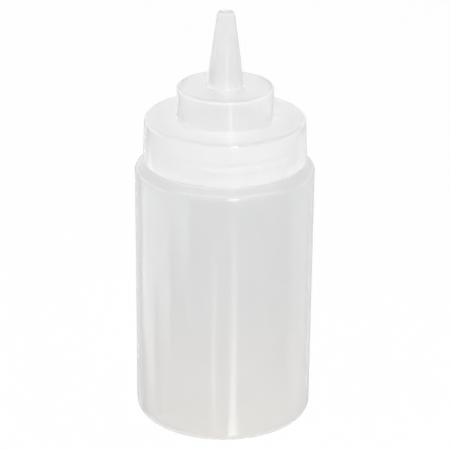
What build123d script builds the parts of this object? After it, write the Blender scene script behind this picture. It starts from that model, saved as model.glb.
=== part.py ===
from build123d import *
import math
import os

# Wide-mouth squeeze bottle with a screw-on cone-tip cap, in millimetres.
# Z is the common axis of every piece and the bottle stands on z = 0.

# Bottle body
body_base_diameter = 76.0  # across the wall, just above the base corner
body_top_diameter = 76.5  # across the wall, just under the shoulder
body_wall = 1.1
base_thickness = 1.6
base_corner_radius = 3.6
foot_width = 3.9  # flat ring that the bottle stands on, inside the base corner
base_recess_slope = 6.0  # width of the slope from the foot to the flat of the recess
base_recess_depth = 3.0
base_recess_rounding = 1.5
shoulder_height = 115.3  # at the foot of the neck
shoulder_drop = 2.0  # fall of the shoulder from the neck out to the wall
shoulder_radius = 2.0
shoulder_thickness = 1.6

# Moulding marks of the bottle
parting_line_width = 0.5
parting_line_height = 0.12
pinch_seam_length = 42.0
pinch_seam_width = 1.0
pinch_seam_height = 0.5

# Neck
neck_root_diameter = 63.6
neck_wall = 1.6
neck_length = 17.5  # shoulder to rim
neck_foot_rounding = 0.8
neck_bore_rounding = 1.0
rim_rounding = 0.4
mouth_chamfer = 0.4

# Screw thread, right-handed, with one ridge form for the neck and the cap
thread_pitch = 4.2333  # six turns to the inch
thread_depth = 1.0
thread_root_width = 2.2
thread_crest_width = 0.9
thread_rooting = 0.3  # how deep a ridge is set into its wall
thread_clearance = 0.35  # crest to the opposite wall
neck_thread_turns = 2.0
neck_thread_rise = 4.3  # shoulder to the ridge's middle where it starts
cap_thread_turns = 1.5
cap_thread_start = 180.0  # degrees round from the start of the neck's ridge
cap_run_out_offset = 8.0  # off-centre hollowing that thins the ends of the cap's ridge

# Seal ring
seal_thickness = 1.0
seal_width = 3.1
seal_outer_clearance = 0.45  # to the inside of the cap's skirt

# Cap skirt and deck
skirt_bottom_wall = 1.75
skirt_top_wall = 1.05
skirt_gap = 1.4  # shoulder to the bottom edge of the skirt
skirt_edge_rounding = 0.35
deck_thickness = 1.55
deck_rounding = 1.6

# Locating lip under the deck, inside the seal ring
lip_clearance = 0.35
lip_wall = 1.1
lip_length = 2.6

# Raised drum on the deck
drum_diameter = 41.0
drum_height = 13.8
drum_wall = 1.5
drum_rounding = 1.15
drum_foot_rounding = 1.0
drum_bore_rounding = 0.8

# Cone nozzle
nozzle_base_diameter = 15.8
nozzle_tip_diameter = 7.1
nozzle_length = 32.4
nozzle_wall = 1.4  # at the foot of the cone
nozzle_foot_rounding = 0.5
nozzle_tip_rounding = 1.0
outlet_diameter = 3.2
outlet_land = 3.0  # straight end of the passage

# Heights that follow from the sizes above
shoulder_edge_height = shoulder_height - shoulder_drop
rim_height = shoulder_height + neck_length
deck_underside = rim_height + seal_thickness
deck_height = deck_underside + deck_thickness
skirt_bottom = shoulder_height + skirt_gap
drum_top = deck_height + drum_height
tip_height = drum_top + nozzle_length
neck_thread_height = shoulder_height + neck_thread_rise

# Radii that follow from the sizes above
body_base_radius = body_base_diameter / 2
body_top_radius = body_top_diameter / 2
foot_inner_radius = body_base_radius - base_corner_radius - foot_width
base_recess_radius = foot_inner_radius - base_recess_slope
neck_root_radius = neck_root_diameter / 2
neck_bore_radius = neck_root_radius - neck_wall
skirt_bore_radius = neck_root_radius + thread_depth + thread_clearance
seal_outer_radius = skirt_bore_radius - seal_outer_clearance
seal_inner_radius = seal_outer_radius - seal_width
lip_outer_radius = seal_inner_radius - lip_clearance
drum_radius = drum_diameter / 2
nozzle_base_radius = nozzle_base_diameter / 2
outlet_radius = outlet_diameter / 2

# Roundings that the width of the shoulder limits
shoulder_width = body_top_radius - neck_root_radius
shoulder_rounding = min(shoulder_radius, 0.8 * shoulder_width)
neck_foot_fillet = min(neck_foot_rounding, 0.15 * shoulder_width)
inner_shoulder_rounding = max(shoulder_rounding - body_wall, 0)

# How far a cutting shape runs past the face that it opens
cut_margin = 1.0


def lathe(*corners):
    """Turns a closed outline about Z; each corner is (radius, height, rounding)."""
    points = [(radius, height) for radius, height, rounding in corners]
    roundings = [rounding for radius, height, rounding in corners]
    outline = FilletPolyline(*points, radius=roundings, close=True)
    return revolve(Plane.XZ * make_face(outline), axis=Axis.Z)


def ridge(wall_radius, depth, turns):
    """One helical ridge, starting on +X at z = 0; a negative depth points to the axis."""
    outward = math.copysign(1, depth)
    flare = (thread_root_width - thread_crest_width) / abs(depth)
    rooted_width = thread_root_width + flare * thread_rooting
    rooted_radius = wall_radius - outward * thread_rooting
    section = Polygon(
        (rooted_radius, -rooted_width / 2),
        (wall_radius + depth, -thread_crest_width / 2),
        (wall_radius + depth, thread_crest_width / 2),
        (rooted_radius, rooted_width / 2),
        align=None,
    )
    path = Helix(thread_pitch, thread_pitch * turns, wall_radius)
    return sweep(Plane.XZ * section, path=path, is_frenet=True)


def at_both_ends(run_out, turns):
    """The run-out shape at the start and at the end of a ridge of so many turns."""
    end = Pos(0, 0, thread_pitch * turns) * Rot(0, 0, 360 * turns)
    return [run_out, end * run_out]


def neck_ridge():
    """The neck's ridge; a flat that is tangent to the neck thins each of its ends."""
    width = 2 * (neck_root_radius + thread_depth)
    flat = Box(width, width, thread_pitch, align=(Align.MIN, Align.CENTER, Align.CENTER))
    run_out = Pos(neck_root_radius, 0, 0) * flat
    turned = ridge(neck_root_radius, thread_depth, neck_thread_turns)
    return Pos(0, 0, neck_thread_height) * (turned - at_both_ends(run_out, neck_thread_turns))


def cap_ridge():
    """The cap's ridge, which runs midway between the turns of the neck's ridge."""
    run_out = Pos(cap_run_out_offset, 0, 0) * Cylinder(
        skirt_bore_radius - cap_run_out_offset, thread_pitch
    )
    turned = ridge(skirt_bore_radius, -thread_depth, cap_thread_turns)
    thinned = turned - at_both_ends(run_out, cap_thread_turns)
    rise = thread_pitch * (cap_thread_start / 360 - 0.5)
    return Pos(0, 0, neck_thread_height + rise) * Rot(0, 0, cap_thread_start) * thinned


def bottle_outside():
    return lathe(
        (0, 0, 0),
        (body_base_radius, 0, base_corner_radius),
        (body_top_radius, shoulder_edge_height, shoulder_rounding),
        (neck_root_radius, shoulder_height, neck_foot_fillet),
        (neck_root_radius, rim_height, rim_rounding),
        (0, rim_height, 0),
    )


def bottle_inside():
    """The hollow, from the floor over the pushed-up underside to the open mouth."""
    ceiling = shoulder_height - shoulder_thickness
    ceiling_edge = shoulder_edge_height - shoulder_thickness
    return lathe(
        (0, base_recess_depth + base_thickness, 0),
        (base_recess_radius, base_recess_depth + base_thickness, base_recess_rounding),
        (foot_inner_radius, base_thickness, base_recess_rounding),
        (body_base_radius - body_wall, base_thickness, base_corner_radius - body_wall),
        (body_top_radius - body_wall, ceiling_edge, inner_shoulder_rounding),
        (neck_bore_radius, ceiling, neck_bore_rounding),
        (neck_bore_radius, rim_height - mouth_chamfer, 0),
        (neck_bore_radius + mouth_chamfer, rim_height, 0),
        (neck_bore_radius + mouth_chamfer, rim_height + cut_margin, 0),
        (0, rim_height + cut_margin, 0),
    )


def underside_recess():
    return lathe(
        (0, -cut_margin, 0),
        (foot_inner_radius, -cut_margin, 0),
        (foot_inner_radius, 0, 0),
        (base_recess_radius, base_recess_depth, base_recess_rounding),
        (0, base_recess_depth, 0),
    )


def parting_lines():
    """The fine raised line down each side where the two mould halves met."""
    grown = lathe(
        (0, -parting_line_height, 0),
        (
            body_base_radius + parting_line_height,
            -parting_line_height,
            base_corner_radius + parting_line_height,
        ),
        (
            body_top_radius + parting_line_height,
            shoulder_edge_height + parting_line_height,
            shoulder_rounding + parting_line_height,
        ),
        (neck_root_radius, shoulder_height + parting_line_height, 0),
        (0, shoulder_height + parting_line_height, 0),
    )
    slab = Box(
        3 * body_top_radius,
        parting_line_width,
        2 * shoulder_height,
        align=(Align.CENTER, Align.CENTER, Align.MIN),
    )
    return grown & slab


def pinch_seam():
    """The straight bar across the underside where the mould pinched the tube shut."""
    return Pos(0, 0, base_recess_depth - pinch_seam_height) * Box(
        pinch_seam_length,
        pinch_seam_width,
        pinch_seam_height + base_thickness / 2,
        align=(Align.CENTER, Align.CENTER, Align.MIN),
    )


def make_bottle():
    blank = bottle_outside() + parting_lines() + neck_ridge()
    return blank - bottle_inside() - underside_recess() + pinch_seam()


def make_seal_ring():
    return lathe(
        (seal_inner_radius, rim_height, 0),
        (seal_outer_radius, rim_height, 0),
        (seal_outer_radius, deck_underside, 0),
        (seal_inner_radius, deck_underside, 0),
    )


def cap_outside():
    return lathe(
        (0, skirt_bottom, 0),
        (skirt_bore_radius + skirt_bottom_wall, skirt_bottom, skirt_edge_rounding),
        (skirt_bore_radius + skirt_top_wall, deck_height, deck_rounding),
        (drum_radius, deck_height, drum_foot_rounding),
        (drum_radius, drum_top, drum_rounding),
        (nozzle_base_radius, drum_top, nozzle_foot_rounding),
        (nozzle_tip_diameter / 2, tip_height, nozzle_tip_rounding),
        (0, tip_height, 0),
    )


def cap_inside():
    """The hollow, from the open skirt through the drum to the outlet at the tip."""
    return lathe(
        (0, skirt_bottom - cut_margin, 0),
        (skirt_bore_radius, skirt_bottom - cut_margin, 0),
        (skirt_bore_radius, deck_underside, 0),
        (drum_radius - drum_wall, deck_underside, drum_bore_rounding),
        (drum_radius - drum_wall, drum_top - drum_wall, drum_rounding),
        (nozzle_base_radius - nozzle_wall, drum_top - drum_wall, nozzle_foot_rounding),
        (outlet_radius, tip_height - outlet_land, 0),
        (outlet_radius, tip_height + cut_margin, 0),
        (0, tip_height + cut_margin, 0),
    )


def locating_lip():
    return lathe(
        (lip_outer_radius - lip_wall, deck_underside - lip_length, 0),
        (lip_outer_radius, deck_underside - lip_length, 0),
        (lip_outer_radius, deck_underside + deck_thickness / 2, 0),
        (lip_outer_radius - lip_wall, deck_underside + deck_thickness / 2, 0),
    )


def make_nozzle_cap():
    return cap_outside() - cap_inside() + locating_lip() + cap_ridge()


pieces = {
    "bottle": make_bottle(),
    "seal_ring": make_seal_ring(),
    "nozzle_cap": make_nozzle_cap(),
}

os.makedirs("parts", exist_ok=True)
for name, piece in pieces.items():
    export_step(piece, f"parts/{name}.step")
    print(name, "volume", round(piece.volume), "valid", piece.is_valid)
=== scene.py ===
import math

import bpy
import numpy as np
from mathutils import Matrix, Vector


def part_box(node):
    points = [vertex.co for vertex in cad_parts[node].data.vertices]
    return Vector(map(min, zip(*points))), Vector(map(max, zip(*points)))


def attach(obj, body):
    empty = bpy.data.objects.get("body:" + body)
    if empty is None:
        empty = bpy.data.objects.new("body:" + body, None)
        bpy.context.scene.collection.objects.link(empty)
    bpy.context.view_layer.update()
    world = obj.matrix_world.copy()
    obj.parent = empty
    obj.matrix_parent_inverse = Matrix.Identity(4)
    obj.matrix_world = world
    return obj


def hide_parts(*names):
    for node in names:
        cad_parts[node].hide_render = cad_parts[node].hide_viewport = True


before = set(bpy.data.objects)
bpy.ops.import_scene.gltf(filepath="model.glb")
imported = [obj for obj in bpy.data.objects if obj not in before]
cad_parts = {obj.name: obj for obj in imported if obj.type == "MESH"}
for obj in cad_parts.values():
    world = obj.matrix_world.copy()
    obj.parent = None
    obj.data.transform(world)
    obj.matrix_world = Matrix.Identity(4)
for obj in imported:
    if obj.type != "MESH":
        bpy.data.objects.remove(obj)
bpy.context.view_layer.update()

MM = 0.001

# ---------------------------------------------------------------- sizes read from the frame
_, bottle_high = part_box("bottle")
_, seal_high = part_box("seal_ring")
cap_low, cap_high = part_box("nozzle_cap")

RIM = bottle_high.z
DECK_UNDERSIDE = seal_high.z
SEAL_RADIUS = seal_high.x
SKIRT_BOTTOM = cap_low.z
TIP = cap_high.z

# ---------------------------------------------------------------- sizes of the bottle
BASE_RADIUS = 38.0 * MM
TOP_RADIUS = 38.25 * MM
BODY_WALL = 1.1 * MM
BASE_THICKNESS = 1.6 * MM
BASE_CORNER = 3.6 * MM
FOOT_INNER = 30.5 * MM
FOOT_INNER_ROUNDING = 0.8 * MM
RECESS_RADIUS = 24.5 * MM
RECESS_DEPTH = 3.0 * MM
RECESS_ROUNDING = 1.5 * MM
NECK_LENGTH = 17.5 * MM
NECK_ROOT = 31.8 * MM
NECK_WALL = 1.6 * MM
NECK_BORE = NECK_ROOT - NECK_WALL
NECK_FOOT_ROUNDING = 0.8 * MM
NECK_BORE_ROUNDING = 1.0 * MM
RIM_ROUNDING = 0.4 * MM
SHOULDER = RIM - NECK_LENGTH
SHOULDER_DROP = 2.0 * MM
SHOULDER_EDGE = SHOULDER - SHOULDER_DROP
SHOULDER_ROUNDING = 2.0 * MM
SHOULDER_THICKNESS = 1.6 * MM

# the parting lines are on +X and -X, and the pinched seam runs between them under the base
PARTING_HEIGHT = 0.12 * MM
PARTING_HALF_WIDTH = 0.25 * MM
PARTING_RISE = 1.0 * MM
PINCH_HALF_LENGTH = 21.0 * MM
PINCH_HALF_WIDTH = 0.5 * MM
PINCH_HEIGHT = 0.5 * MM
PINCH_SIDE_SLOPE = 0.3 * MM
PINCH_END_SLOPE = 1.0 * MM
FOOT_FLAT = 0.2 * MM  # the seam is only where the underside lies higher than this

# unevenness of the blown wall: size, waves round the axis, start and twist up the wall in radians
OUTSIDE_SAG = (0.05 * MM, 2, 0.6, 1.5)
INSIDE_SWELLS = (
    (0.10 * MM, 2, 1.1, 2.4),
    (0.07 * MM, 3, -0.7, -3.1),
    (0.04 * MM, 5, 2.0, 4.6),
)
WALL_FADE = 4.0 * MM  # width outside the neck over which unevenness and parting lines set in

# ---------------------------------------------------------------- sizes of the thread
THREAD_PITCH = 4.2333 * MM
THREAD_DEPTH = 1.0 * MM
THREAD_ROOT_HALF = 1.1 * MM
THREAD_CREST_HALF = 0.45 * MM
THREAD_CLEARANCE = 0.35 * MM
THREAD_RISE = 4.3 * MM
THREAD_START = SHOULDER + THREAD_RISE
NECK_THREAD_TURNS = 2.0
NECK_RUN_OUT = math.radians(14)  # turn over which a ridge rises and falls at its ends
CAP_THREAD_TURNS = 1.5
CAP_RUN_OUT = math.radians(25)
CAP_THREAD_BEARING = math.pi  # its ridge starts opposite the start of the neck's

# ---------------------------------------------------------------- sizes of the cap and its seal
SKIRT_BORE = NECK_ROOT + THREAD_DEPTH + THREAD_CLEARANCE
SKIRT_BOTTOM_RADIUS = 34.9 * MM
SKIRT_TOP_RADIUS = 34.2 * MM
SKIRT_EDGE_ROUNDING = 0.35 * MM
SKIRT_BORE_ROUNDING = 0.3 * MM
DECK_THICKNESS = 1.55 * MM
DECK = DECK_UNDERSIDE + DECK_THICKNESS
DECK_ROUNDING = 1.6 * MM
DRUM_RADIUS = 20.5 * MM
DRUM_WALL = 1.5 * MM
DRUM_HEIGHT = 13.8 * MM
DRUM_TOP = DECK + DRUM_HEIGHT
DRUM_ROUNDING = 1.15 * MM
DRUM_FOOT_ROUNDING = 1.0 * MM
DRUM_BORE_ROUNDING = 0.8 * MM
NOZZLE_BASE = 7.9 * MM
NOZZLE_TIP = 3.55 * MM
NOZZLE_WALL = 1.4 * MM
NOZZLE_FOOT_ROUNDING = 0.5 * MM
NOZZLE_TIP_ROUNDING = 1.0 * MM
OUTLET = 1.6 * MM
OUTLET_LAND = 3.0 * MM
OUTLET_EDGE_ROUNDING = 0.15 * MM
OUTLET_LAND_ROUNDING = 0.4 * MM
SEAL_WIDTH = 3.1 * MM
SEAL_ROUNDING = 0.2 * MM
LIP_CLEARANCE = 0.35 * MM
LIP_OUTER = SEAL_RADIUS - SEAL_WIDTH - LIP_CLEARANCE
LIP_WALL = 1.1 * MM
LIP_LENGTH = 2.6 * MM
LIP_EDGE_ROUNDING = 0.3 * MM
LIP_ROOT_ROUNDING = 0.2 * MM
DECK_CORNER_ROUNDING = 0.1 * MM

# ---------------------------------------------------------------- fineness of the meshes
ARC_STEP = math.radians(9)
ARC_LEAST_STEPS = 4
THREAD_SPACING = 0.2 * MM
BOTTLE_SPACING = 1.6 * MM
CAP_SPACING = 1.2 * MM
SEAL_SPACING = 0.8 * MM
BOTTLE_SIDES = 240
CAP_SIDES = 240
SEAL_SIDES = 160
PARTING_SIDES = 25  # extra angles at each parting line
PARTING_REACH = 0.03  # how far they reach to each side of it, in radians
LEAST_TURN = 1.5e-3  # angles nearer to each other than this are one
NEAR = 0.01 * MM  # points nearer to a threaded wall than this are on it


# ---------------------------------------------------------------- outlines and turned meshes
def rounded(corners, closed=False):
    """Straight runs and arcs through (radius, height, rounding) corners, as a list of pieces."""
    count = len(corners)
    pieces, tangents = [], []
    for i, (r, z, rounding) in enumerate(corners):
        here = np.array((r, z))
        if not closed and i in (0, count - 1):
            tangents.append((here, here, None))
            continue
        before = np.array(corners[i - 1][:2]) - here
        after = np.array(corners[(i + 1) % count][:2]) - here
        before /= np.linalg.norm(before)
        after /= np.linalg.norm(after)
        half = math.acos(max(-1.0, min(1.0, float(before @ after)))) / 2
        run = rounding / math.tan(half)
        bisector = before + after
        bisector /= np.linalg.norm(bisector)
        centre = here + bisector * rounding / math.sin(half)
        tangents.append((here + before * run, here + after * run, centre))
    for i in range(count):
        start, end, centre = tangents[i]
        if centre is not None:
            pieces.append(("arc", start, end, centre))
        if i + 1 < count or closed:
            pieces.append(("line", end, tangents[(i + 1) % count][0], None))
    return pieces


def sampled(pieces, spacing):
    """Points along the pieces; spacing(point) gives their distance on a straight run there."""
    points = []
    for kind, start, end, centre in pieces:
        if kind == "arc":
            a, b = start - centre, end - centre
            radius = np.linalg.norm(a)
            turn = math.atan2(a[0] * b[1] - a[1] * b[0], float(a @ b))
            steps = max(ARC_LEAST_STEPS, math.ceil(abs(turn) / ARC_STEP))
            begin = math.atan2(a[1], a[0])
            for k in range(steps):
                angle = begin + turn * k / steps
                points.append(centre + radius * np.array((math.cos(angle), math.sin(angle))))
        else:
            length = np.linalg.norm(end - start)
            steps = max(1, math.ceil(length / spacing((start + end) / 2)))
            for k in range(steps):
                points.append(start + (end - start) * k / steps)
    points.append(pieces[-1][2])
    return np.array(points)


def around(count, partings=()):
    """Angles round the axis, with extra ones near the angles of parting lines."""
    angles = list(np.linspace(0, 2 * math.pi, count, endpoint=False))
    for middle in partings:
        angles += list(middle + np.linspace(-PARTING_REACH, PARTING_REACH, PARTING_SIDES))
    angles = np.sort(np.mod(np.round(angles, 6), round(2 * math.pi, 6)))
    keep = [angles[0]]
    for angle in angles[1:]:
        if angle - keep[-1] > LEAST_TURN:
            keep.append(angle)
    return np.array(keep)


def lathe(name, outline, angles, shape=None, loop=False):
    """A closed mesh turned about Z from (radius, height) points.

    shape(r, z, angle, index) moves the points of each ring. A point on the axis is one vertex.
    """
    rings, verts, faces = [], [], []
    count = len(angles)
    for i, (r, z) in enumerate(outline):
        turns = angles if r > 0 else angles[:1]
        radius, height = np.full(len(turns), r), np.full(len(turns), z)
        if shape is not None:
            radius, height = shape(radius, height, turns, i)
        first = len(verts)
        rings.append(list(range(first, first + count)) if r > 0 else [first] * count)
        verts += list(zip(radius * np.cos(turns), radius * np.sin(turns), height))
    last = len(rings) if loop else len(rings) - 1
    for i in range(last):
        a, b = rings[i], rings[(i + 1) % len(rings)]
        for k in range(count):
            n = (k + 1) % count
            face = tuple(dict.fromkeys((a[k], a[n], b[n], b[k])))
            if len(face) > 2:
                faces.append(face)
    mesh = bpy.data.meshes.new(name)
    mesh.from_pydata(verts, [], faces)
    mesh.validate()
    mesh.polygons.foreach_set("use_smooth", [True] * len(mesh.polygons))
    mesh.update()
    piece = bpy.data.objects.new(name, mesh)
    bpy.context.scene.collection.objects.link(piece)
    return piece


def eased(t):
    """A smooth step from 0 to 1 as t goes from 0 to 1."""
    t = np.clip(t, 0, 1)
    return t * t * (3 - 2 * t)


def thread(z, angle, turns, run_out):
    """Share of full depth, 0 to 1, of a right-handed ridge at that height and angle."""
    share = np.zeros_like(z)
    for turn in range(math.ceil(turns) + 1):
        along = angle + 2 * math.pi * turn
        middle = THREAD_START + THREAD_PITCH * along / (2 * math.pi)
        aside = np.abs(z - middle)
        flank = (THREAD_ROOT_HALF - aside) / (THREAD_ROOT_HALF - THREAD_CREST_HALF)
        ends = eased(along / run_out) * eased((2 * math.pi * turns - along) / run_out)
        share = np.maximum(share, eased(flank) * ends)
    return share


# ---------------------------------------------------------------- bottle
def bottle_outline():
    """Underside, wall, shoulder, neck and rim, then back down inside to the floor's middle."""
    ceiling = SHOULDER - SHOULDER_THICKNESS
    ceiling_edge = SHOULDER_EDGE - SHOULDER_THICKNESS
    corners = [
        (0, RECESS_DEPTH, 0),
        (RECESS_RADIUS, RECESS_DEPTH, RECESS_ROUNDING),
        (FOOT_INNER, 0, FOOT_INNER_ROUNDING),
        (BASE_RADIUS, 0, BASE_CORNER),
        (TOP_RADIUS, SHOULDER_EDGE, SHOULDER_ROUNDING),
        (NECK_ROOT, SHOULDER, NECK_FOOT_ROUNDING),
        (NECK_ROOT, RIM, RIM_ROUNDING),
        (NECK_BORE, RIM, RIM_ROUNDING),
        (NECK_BORE, ceiling, NECK_BORE_ROUNDING),
        (TOP_RADIUS - BODY_WALL, ceiling_edge, SHOULDER_ROUNDING - BODY_WALL),
        (BASE_RADIUS - BODY_WALL, BASE_THICKNESS, BASE_CORNER - BODY_WALL),
        (FOOT_INNER, BASE_THICKNESS, RECESS_ROUNDING),
        (RECESS_RADIUS, RECESS_DEPTH + BASE_THICKNESS, RECESS_ROUNDING),
        (0, RECESS_DEPTH + BASE_THICKNESS, 0),
    ]

    def spacing(point):
        return THREAD_SPACING if abs(point[0] - NECK_ROOT) < NEAR else BOTTLE_SPACING

    return sampled(rounded(corners), spacing)


def pinched(r, angle):
    """Share of full height, 0 to 1, of the pinched seam, a bar across the underside's middle."""
    across = np.abs(r * np.sin(angle))
    along = np.abs(r * np.cos(angle))
    side = eased((PINCH_HALF_WIDTH - across) / PINCH_SIDE_SLOPE + 0.5)
    return side * eased((PINCH_HALF_LENGTH - along) / PINCH_END_SLOPE)


def bottle_shape(outline):
    """The neck's thread, the parting lines, the pinched seam and the wall's slight unevenness."""
    rim_index = int(np.argmax(outline[:, 1]))

    def shape(r, z, angle, index):
        outside = index <= rim_index
        if outside and abs(r[0] - NECK_ROOT) < NEAR and SHOULDER < z[0] < RIM:
            return r + THREAD_DEPTH * thread(z, angle, NECK_THREAD_TURNS, NECK_RUN_OUT), z
        if outside and r[0] < FOOT_INNER and z[0] > FOOT_FLAT:
            return r, z - PINCH_HEIGHT * pinched(r, angle)
        on_wall = eased((r - NECK_ROOT) / WALL_FADE)
        up = z / SHOULDER_EDGE
        if outside:
            aside = np.abs(np.sin(angle)) * r
            line = np.exp(-((aside / PARTING_HALF_WIDTH) ** 2)) * eased(z / PARTING_RISE)
            size, waves, start, twist = OUTSIDE_SAG
            sag = size * (1 - np.cos(waves * angle + start + twist * up)) * np.sin(math.pi * up)
            return r + on_wall * (PARTING_HEIGHT * line - sag * (up < 1)), z
        swell = 0
        for size, waves, start, twist in INSIDE_SWELLS:
            swell = swell + size * np.sin(waves * angle + start + twist * up)
        return r + on_wall * swell * np.sin(math.pi * np.clip(up, 0, 1)) ** 0.5, z

    return shape


def make_bottle():
    outline = bottle_outline()
    return lathe("bottle_shell", outline, around(BOTTLE_SIDES, (0, math.pi)), bottle_shape(outline))


# ---------------------------------------------------------------- cap
def cap_outline():
    """Skirt, deck, drum and cone outside, then down the passage, drum, lip and threaded bore."""
    passage = NOZZLE_BASE - NOZZLE_WALL
    drum_ceiling = DRUM_TOP - DRUM_WALL
    drum_bore = DRUM_RADIUS - DRUM_WALL
    lip_inner = LIP_OUTER - LIP_WALL
    lip_bottom = DECK_UNDERSIDE - LIP_LENGTH
    corners = [
        (SKIRT_BORE, SKIRT_BOTTOM, SKIRT_BORE_ROUNDING),
        (SKIRT_BOTTOM_RADIUS, SKIRT_BOTTOM, SKIRT_EDGE_ROUNDING),
        (SKIRT_TOP_RADIUS, DECK, DECK_ROUNDING),
        (DRUM_RADIUS, DECK, DRUM_FOOT_ROUNDING),
        (DRUM_RADIUS, DRUM_TOP, DRUM_ROUNDING),
        (NOZZLE_BASE, DRUM_TOP, NOZZLE_FOOT_ROUNDING),
        (NOZZLE_TIP, TIP, NOZZLE_TIP_ROUNDING),
        (OUTLET, TIP, OUTLET_EDGE_ROUNDING),
        (OUTLET, TIP - OUTLET_LAND, OUTLET_LAND_ROUNDING),
        (passage, drum_ceiling, NOZZLE_FOOT_ROUNDING),
        (drum_bore, drum_ceiling, DRUM_ROUNDING),
        (drum_bore, DECK_UNDERSIDE, DRUM_BORE_ROUNDING),
        (lip_inner, DECK_UNDERSIDE, LIP_ROOT_ROUNDING),
        (lip_inner, lip_bottom, LIP_EDGE_ROUNDING),
        (LIP_OUTER, lip_bottom, LIP_EDGE_ROUNDING),
        (LIP_OUTER, DECK_UNDERSIDE, DECK_CORNER_ROUNDING),
        (SKIRT_BORE, DECK_UNDERSIDE, DECK_CORNER_ROUNDING),
    ]

    def spacing(point):
        return THREAD_SPACING if abs(point[0] - SKIRT_BORE) < NEAR else CAP_SPACING

    return sampled(rounded(corners, closed=True), spacing)[:-1]


def cap_shape(r, z, angle, index):
    """The thread inside the skirt, which runs midway between the turns of the neck's thread."""
    if abs(r[0] - SKIRT_BORE) > NEAR or not SKIRT_BOTTOM < z[0] < DECK_UNDERSIDE:
        return r, z
    angle = np.mod(angle - CAP_THREAD_BEARING, 2 * math.pi)
    return r - THREAD_DEPTH * thread(z, angle, CAP_THREAD_TURNS, CAP_RUN_OUT), z


def make_cap():
    return lathe("cone_tip_cap", cap_outline(), around(CAP_SIDES), cap_shape, loop=True)


# ---------------------------------------------------------------- seal ring
def make_seal():
    inner = SEAL_RADIUS - SEAL_WIDTH
    corners = [
        (inner, RIM, SEAL_ROUNDING),
        (SEAL_RADIUS, RIM, SEAL_ROUNDING),
        (SEAL_RADIUS, DECK_UNDERSIDE, SEAL_ROUNDING),
        (inner, DECK_UNDERSIDE, SEAL_ROUNDING),
    ]
    outline = sampled(rounded(corners, closed=True), lambda point: SEAL_SPACING)[:-1]
    return lathe("soft_seal_ring", outline, around(SEAL_SIDES), loop=True)


# ---------------------------------------------------------------- materials
# the mix node's two inputs and its output, for numbers and for colours
MIX_NUMBERS = (2, 3, 0)
MIX_COLOURS = (6, 7, 2)

# noise scales are in waves per metre
CLOUD_SCALE, CLOUD_DETAIL = 28, 2.0
GRAIN_SCALE, GRAIN_DETAIL = 160, 3.0
GRAIN_STRETCH = (1, 1, 0.35)
BUMP_DETAIL = 4.0
BENDING = 1.2  # index inside the haze, under the real 1.51, which keeps thin walls pale
COAT_IOR = 1.6

# a fade is the tint that takes over, and the heights where it starts and ends; the bottle's
# shoulder fade and the cap's fade are painted light and shade
NEUTRAL = (0.785, 0.787, 0.789)
BOTTLE_LOOK = {
    "tints": ((0.808, 0.795, 0.782), (0.84, 0.825, 0.81)),
    "fades": (
        (NEUTRAL, 0, 75 * MM),
        # painted light: a lighter tint over the shoulder's ledge, from just below its edge to the
        # neck's foot, lifts the shade under the cap's skirt
        ((0.857, 0.859, 0.861), SHOULDER_EDGE - 0.3 * MM, SHOULDER_EDGE + 0.7 * MM),
        (NEUTRAL, SHOULDER + 0.5 * MM, SHOULDER + 2 * MM),
    ),
    "roughness": (0.30, 0.36),
    "gloss": 0.12,
    "clear": 0.6,
    "bump_scale": 55,
    "bump_distance": 0.10 * MM,
}
CAP_LOOK = {
    "tints": ((0.934, 0.934, 0.933), (0.949, 0.949, 0.948)),
    # painted shade: the cap turns greyer from just under the deck, up the drum, to the nozzle's tip
    "fades": (((0.83, 0.83, 0.829), DECK - 2 * MM, DRUM_TOP + 12 * MM),),
    "roughness": (0.29, 0.34),
    "gloss": 0.07,
    "clear": 0.68,
    "bump_scale": 300,
    "bump_distance": 0.02 * MM,
}
SEAL_LOOK = {
    "tints": ((0.97, 0.972, 0.968), (0.99, 0.99, 0.985)),
    "fades": (((0.98, 0.98, 0.975), RIM, DECK_UNDERSIDE),),
    "roughness": (0.16, 0.24),
    "gloss": 0.2,
    "clear": 0.85,
    "bump_scale": 400,
    "bump_distance": 0.02 * MM,
}


def shader(name):
    """A new material, with its nodes, links, Principled shader and output."""
    material = bpy.data.materials.new(name)
    material.use_nodes = True
    nodes = material.node_tree.nodes
    principled = next(n for n in nodes if n.type == "BSDF_PRINCIPLED")
    out = next(n for n in nodes if n.type == "OUTPUT_MATERIAL")
    return material, nodes, material.node_tree.links, principled, out


def noise(nodes, links, scale, detail, stretch=(1, 1, 1)):
    """Noise in the piece's own coordinates."""
    place = nodes.new("ShaderNodeTexCoord")
    mapping = nodes.new("ShaderNodeMapping")
    mapping.inputs["Scale"].default_value = stretch
    links.new(place.outputs["Object"], mapping.inputs["Vector"])
    texture = nodes.new("ShaderNodeTexNoise")
    texture.inputs["Scale"].default_value = scale
    texture.inputs["Detail"].default_value = detail
    links.new(mapping.outputs["Vector"], texture.inputs["Vector"])
    return texture.outputs["Fac"]


def between(nodes, links, factor, low, high):
    """The factor spread from low to high, which are both numbers or both colours."""
    mix = nodes.new("ShaderNodeMix")
    if isinstance(low, tuple):
        mix.data_type = "RGBA"
        first, second, result = MIX_COLOURS
        low, high = (*low, 1), (*high, 1)
    else:
        mix.data_type = "FLOAT"
        first, second, result = MIX_NUMBERS
    mix.inputs[first].default_value = low
    mix.inputs[second].default_value = high
    links.new(factor, mix.inputs[0])
    return mix.outputs[result]


def faded(nodes, links, tint, other, start, end):
    """The tint turning into the other one from height start to height end of the piece."""
    place = nodes.new("ShaderNodeTexCoord")
    split = nodes.new("ShaderNodeSeparateXYZ")
    links.new(place.outputs["Object"], split.inputs[0])
    share = nodes.new("ShaderNodeMapRange")
    share.interpolation_type = "SMOOTHSTEP"
    share.inputs["From Min"].default_value = start
    share.inputs["From Max"].default_value = end
    links.new(split.outputs["Z"], share.inputs["Value"])
    mix = nodes.new("ShaderNodeMix")
    mix.data_type = "RGBA"
    first, second, result = MIX_COLOURS
    links.new(share.outputs[0], mix.inputs[0])
    links.new(tint, mix.inputs[first])
    mix.inputs[second].default_value = (*other, 1)
    return mix.outputs[result]


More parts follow.
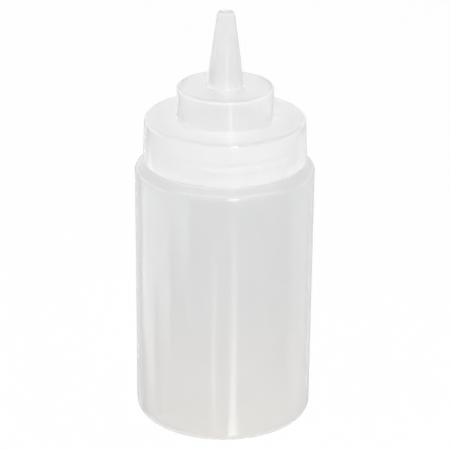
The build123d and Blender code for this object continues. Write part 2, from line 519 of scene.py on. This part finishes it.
def mixed(nodes, links, share, first, second):
    """A shader that goes from the first to the second as share goes from 0 to 1."""
    mix = nodes.new("ShaderNodeMixShader")
    links.new(share, mix.inputs[0])
    links.new(first, mix.inputs[1])
    links.new(second, mix.inputs[2])
    return mix.outputs[0]


def natural_plastic(name, tints, fades, roughness, gloss, clear, bump_scale, bump_distance):
    """Undyed, hazy, slightly milky plastic or elastomer under a clear gloss.

    Lamps shine through it without loss, which keeps thin walls as pale as they are.
    """
    material, nodes, links, principled, out = shader(name)
    cloud = noise(nodes, links, CLOUD_SCALE, CLOUD_DETAIL)
    tint = between(nodes, links, cloud, *tints)
    for fade in fades:
        tint = faded(nodes, links, tint, *fade)
    links.new(tint, principled.inputs["Base Color"])
    grain = noise(nodes, links, GRAIN_SCALE, GRAIN_DETAIL, GRAIN_STRETCH)
    links.new(between(nodes, links, grain, *roughness), principled.inputs["Roughness"])
    principled.inputs["IOR"].default_value = BENDING
    principled.inputs["Transmission Weight"].default_value = clear
    principled.inputs["Coat Weight"].default_value = 1.0
    principled.inputs["Coat Roughness"].default_value = gloss
    principled.inputs["Coat IOR"].default_value = COAT_IOR
    bump = nodes.new("ShaderNodeBump")
    bump.inputs["Distance"].default_value = bump_distance
    bump.inputs["Strength"].default_value = 1.0
    links.new(noise(nodes, links, bump_scale, BUMP_DETAIL), bump.inputs["Height"])
    links.new(bump.outputs["Normal"], principled.inputs["Normal"])
    through = nodes.new("ShaderNodeBsdfTransparent")
    path = nodes.new("ShaderNodeLightPath")
    surface = mixed(
        nodes, links, path.outputs["Is Shadow Ray"], principled.outputs[0], through.outputs[0]
    )
    links.new(surface, out.inputs["Surface"])
    return material


def dress(piece, material, body, node):
    """Give the piece its material, body and slot, and let it stand for the node."""
    piece.data.materials.append(material)
    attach(piece, body)
    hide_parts(node)


bottle_plastic = natural_plastic("bottle_plastic", **BOTTLE_LOOK)
cap_plastic = natural_plastic("cap_plastic", **CAP_LOOK)
seal_plastic = natural_plastic("seal_plastic", **SEAL_LOOK)

dress(make_bottle(), bottle_plastic, "bottle", "bottle")
dress(make_cap(), cap_plastic, "cap", "nozzle_cap")
dress(make_seal(), seal_plastic, "seal", "seal_ring")


# ---------------------------------------------------------------- floor
FLOOR_HALF = 6.0
FLOOR_COLOUR = (0.93, 0.93, 0.93, 1)
FLOOR_ROUGHNESS = 0.7
FLOOR_WHITE = 0.94  # share of plain white where it is seen; the rest is lit and takes the shadow
FLOOR_POLISH = 1.3  # strength of its mirror, of which a slanting ray sees more
POLISH_ROUGHNESS = 0.05


def ray_share(nodes, links, *names):
    """One for rays that are of any of those kinds, and none for the rest."""
    path = nodes.new("ShaderNodeLightPath")
    share = path.outputs[names[0]]
    for name in names[1:]:
        either = nodes.new("ShaderNodeMath")
        either.operation = "MAXIMUM"
        links.new(share, either.inputs[0])
        links.new(path.outputs[name], either.inputs[1])
        share = either.outputs[0]
    return share


def product(nodes, links, first, second):
    """Both factors multiplied; the second may be a number."""
    times = nodes.new("ShaderNodeMath")
    times.operation = "MULTIPLY"
    links.new(first, times.inputs[0])
    if isinstance(second, float):
        times.inputs[1].default_value = second
    else:
        links.new(second, times.inputs[1])
    return times.outputs[0]


def make_floor():
    """A white floor that keeps a faint shadow, and is polished only in the object's reflections."""
    mesh = bpy.data.meshes.new("floor")
    corners = [
        (-FLOOR_HALF, -FLOOR_HALF, 0),
        (FLOOR_HALF, -FLOOR_HALF, 0),
        (FLOOR_HALF, FLOOR_HALF, 0),
        (-FLOOR_HALF, FLOOR_HALF, 0),
    ]
    mesh.from_pydata(corners, [], [(0, 1, 2, 3)])
    floor = bpy.data.objects.new("floor", mesh)
    bpy.context.scene.collection.objects.link(floor)
    material, nodes, links, principled, out = shader("pale_floor")
    principled.inputs["Base Color"].default_value = FLOOR_COLOUR
    principled.inputs["Roughness"].default_value = FLOOR_ROUGHNESS
    white = nodes.new("ShaderNodeEmission")
    polish = nodes.new("ShaderNodeBsdfAnisotropic")
    polish.inputs["Roughness"].default_value = POLISH_ROUGHNESS
    seen = ray_share(nodes, links, "Is Camera Ray", "Is Glossy Ray", "Is Transmission Ray")
    share = product(nodes, links, seen, FLOOR_WHITE)
    surface = mixed(nodes, links, share, principled.outputs[0], white.outputs[0])
    kinds = nodes.new("ShaderNodeLightPath").outputs
    mirrored = product(nodes, links, kinds["Is Glossy Ray"], kinds["Is Reflection Ray"])
    slant = nodes.new("ShaderNodeLayerWeight")
    mirrored = product(nodes, links, mirrored, slant.outputs["Facing"])
    share = product(nodes, links, mirrored, FLOOR_POLISH)
    surface = mixed(nodes, links, share, surface, polish.outputs[0])
    links.new(surface, out.inputs["Surface"])
    mesh.materials.append(material)


# ---------------------------------------------------------------- world
ALL_ROUND = (1.0, 1.0, 1.0)
OVERHEAD = (0.5, 0.5, 0.5)
DIM_FROM = math.radians(10)
DIM_TO = math.radians(42)


def make_world():
    """White all round at the height of the eye, and greyer overhead, where only the lamps are."""
    world = bpy.data.worlds.new("studio")
    bpy.context.scene.world = world
    world.use_nodes = True
    nodes, links = world.node_tree.nodes, world.node_tree.links
    nodes.clear()
    room = nodes.new("ShaderNodeBackground")
    place = nodes.new("ShaderNodeTexCoord")
    split = nodes.new("ShaderNodeSeparateXYZ")
    links.new(place.outputs["Generated"], split.inputs[0])
    height = nodes.new("ShaderNodeMapRange")
    height.interpolation_type = "SMOOTHSTEP"
    height.inputs["From Min"].default_value = math.sin(DIM_FROM)
    height.inputs["From Max"].default_value = math.sin(DIM_TO)
    links.new(split.outputs["Z"], height.inputs["Value"])
    sky = between(nodes, links, height.outputs[0], ALL_ROUND, OVERHEAD)
    links.new(sky, room.inputs["Color"])
    out = nodes.new("ShaderNodeOutputWorld")
    links.new(room.outputs[0], out.inputs["Surface"])


# ---------------------------------------------------------------- camera
CAMERA_ELEVATION = math.radians(22.77)
CAMERA_DISTANCE = 957 * MM
CAMERA_ROLL = math.radians(0.4655)
CAMERA_AIM = Vector((0.27 * MM, 0, 85.64 * MM))
CAMERA_LENS, CAMERA_SENSOR = 177.6, 36
CAMERA_NEAR, CAMERA_FAR = 0.05, 50


def make_camera():
    """A camera that looks down at the bottle through a long lens, with a slight roll."""
    data = bpy.data.cameras.new("camera")
    data.lens, data.sensor_width = CAMERA_LENS, CAMERA_SENSOR
    data.clip_start, data.clip_end = CAMERA_NEAR, CAMERA_FAR
    camera = bpy.data.objects.new("camera", data)
    towards = Vector((0, -math.cos(CAMERA_ELEVATION), math.sin(CAMERA_ELEVATION)))
    camera.location = CAMERA_AIM + CAMERA_DISTANCE * towards
    level = Matrix.Rotation(math.pi / 2 - CAMERA_ELEVATION, 3, "X")
    camera.rotation_euler = (level @ Matrix.Rotation(CAMERA_ROLL, 3, "Z")).to_euler()
    bpy.context.scene.collection.objects.link(camera)
    bpy.context.scene.camera = camera


# ---------------------------------------------------------------- lamps
# bearings are in degrees to the right of the camera as seen from the bottle, lengths in metres,
# and a radiance of 1 is as bright as the white floor
LAMP_DISTANCE = 0.9
KEY_BEARING = 12.8
KEY_STEPS = (  # lowest and highest point, width, radiance
    (0.080, 0.118, 0.100, 2.8),
    (0.160, 0.195, 0.100, 3.2),
    (0.245, 0.300, 0.115, 1.2),
    (0.300, 0.345, 0.115, 1.9),
    (0.345, 0.390, 0.115, 3.3),
    (0.390, 0.460, 0.120, 4.2),
    (0.460, 0.700, 0.190, 9.0),
    (0.700, 1.000, 0.220, 10.8),
)
LEFT_PANELS = (  # bearing, lowest and highest point, radiance
    (-60, 0.205, 0.295, 1.65),
    (-88, 0.205, 0.370, 1.70),
    (-116, 0.205, 0.415, 1.60),
    (-148, 0.165, 0.460, 0.35),
)
LEFT_WIDTH = 0.47
LEFT_TILT = math.radians(8)
RIGHT_LAMPS = (  # name, bearing, lowest and highest point, width, radiance
    ("right_panel", 112, 0.185, 0.440, 0.600, 0.8),
    ("right_rear", 142, 0.165, 0.460, 0.500, 0.4),
)
SECOND_STRIP = ("second_strip", -12.4, 0.300, 0.435, 0.075, 2.2)
TOP_HEIGHT, TOP_LENGTH, TOP_WIDTH, TOP_RADIANCE = 1.0, 1.6, 0.2, 2.9


def lamp(name, place, aim, width, height, radiance):
    """A soft rectangular lamp at place, facing aim, which the camera doesn't see."""
    data = bpy.data.lights.new(name, "AREA")
    data.shape = "RECTANGLE"
    data.size, data.size_y = width, height
    data.energy = radiance * math.pi * width * height
    thing = bpy.data.objects.new(name, data)
    thing.location = place
    thing.rotation_euler = (Vector(aim) - Vector(place)).to_track_quat("-Z", "Y").to_euler()
    thing.visible_camera = False
    bpy.context.scene.collection.objects.link(thing)
    return thing


def upright_lamp(name, degrees, low, high, width, radiance):
    """A lamp on that bearing, from height low to height high, facing the bottle's axis."""
    turn = math.radians(degrees)
    middle = (low + high) / 2
    place = (LAMP_DISTANCE * math.sin(turn), -LAMP_DISTANCE * math.cos(turn), middle)
    return lamp(name, place, (0, 0, middle), width, high - low, radiance)


def make_lamps():
    """The key strip in its steps, panels at both sides, a second strip and one overhead."""
    for low, high, width, radiance in KEY_STEPS:
        upright_lamp(f"key_{round(low / MM)}", KEY_BEARING, low, high, width, radiance)
    for degrees, low, high, radiance in LEFT_PANELS:
        panel = upright_lamp(f"left_panel_{-degrees}", degrees, low, high, LEFT_WIDTH, radiance)
        panel.rotation_euler.rotate_axis("Z", LEFT_TILT)
    for row in (*RIGHT_LAMPS, SECOND_STRIP):
        upright_lamp(*row)
    lamp("top_strip", (0, 0, TOP_HEIGHT), (0, 0, 0), TOP_LENGTH, TOP_WIDTH, TOP_RADIANCE)


make_floor()
make_world()
make_camera()
make_lamps()

bpy.context.scene.view_settings.view_transform = "Standard"
